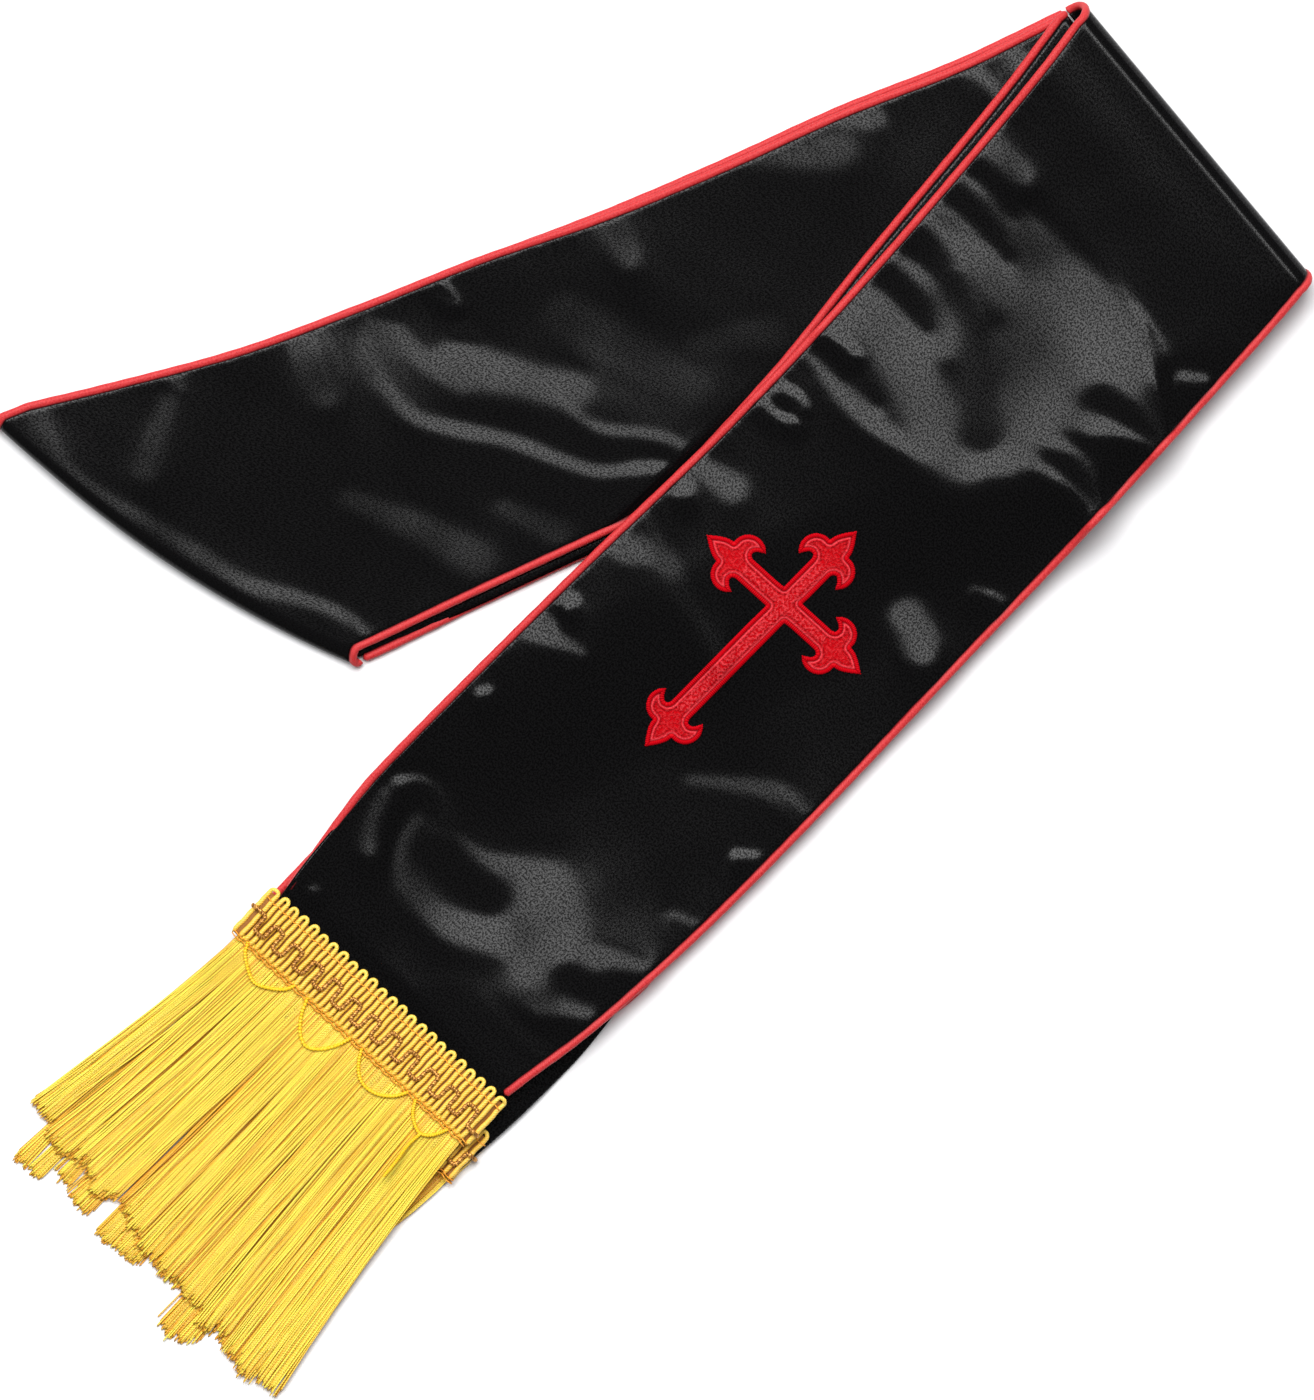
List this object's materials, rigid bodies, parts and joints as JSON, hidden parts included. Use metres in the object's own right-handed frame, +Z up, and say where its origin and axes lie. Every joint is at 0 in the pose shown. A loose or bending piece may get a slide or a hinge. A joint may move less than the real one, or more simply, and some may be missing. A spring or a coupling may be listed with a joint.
{
  "type": "clerical stole",
  "caption": "Black satin clerical stole with red corded piping, an embroidered red cross and gold fringed ends, folded and lying flat.",
  "frame": {"origin": "bottom centre of the folded stole's box, on the surface it lies on", "axes": "+Y up the front tail from its fringe to the far fold, +X across it towards its right edge, +Z up from the surface"},
  "size_m": [0.3546, 0.6414, 0.0175],
  "materials": {
    "black_satin": "heavy black satin with a soft sheen",
    "red_piping": "coral red satin over a filler cord",
    "red_thread": "glossy red embroidery thread in satin stitch",
    "gold_trim": "gold rayon scroll gimp braid and brush fringe"
  },
  "bodies": {
    "root": {"front_tail": "black_satin", "under_tail": "black_satin", "neck_top_layer": "black_satin", "neck_lower_layer": "black_satin", "front_tail_piping_left": "red_piping", "front_tail_piping_right": "red_piping", "under_tail_piping_left": "red_piping", "under_tail_piping_right": "red_piping", "neck_top_layer_piping_left": "red_piping", "neck_top_layer_piping_right": "red_piping", "neck_lower_layer_piping_left": "red_piping", "neck_lower_layer_piping_right": "red_piping", "cross_applique": "red_thread", "front_fringe": "gold_trim", "under_fringe": "gold_trim"}
  },
  "joints": []
}
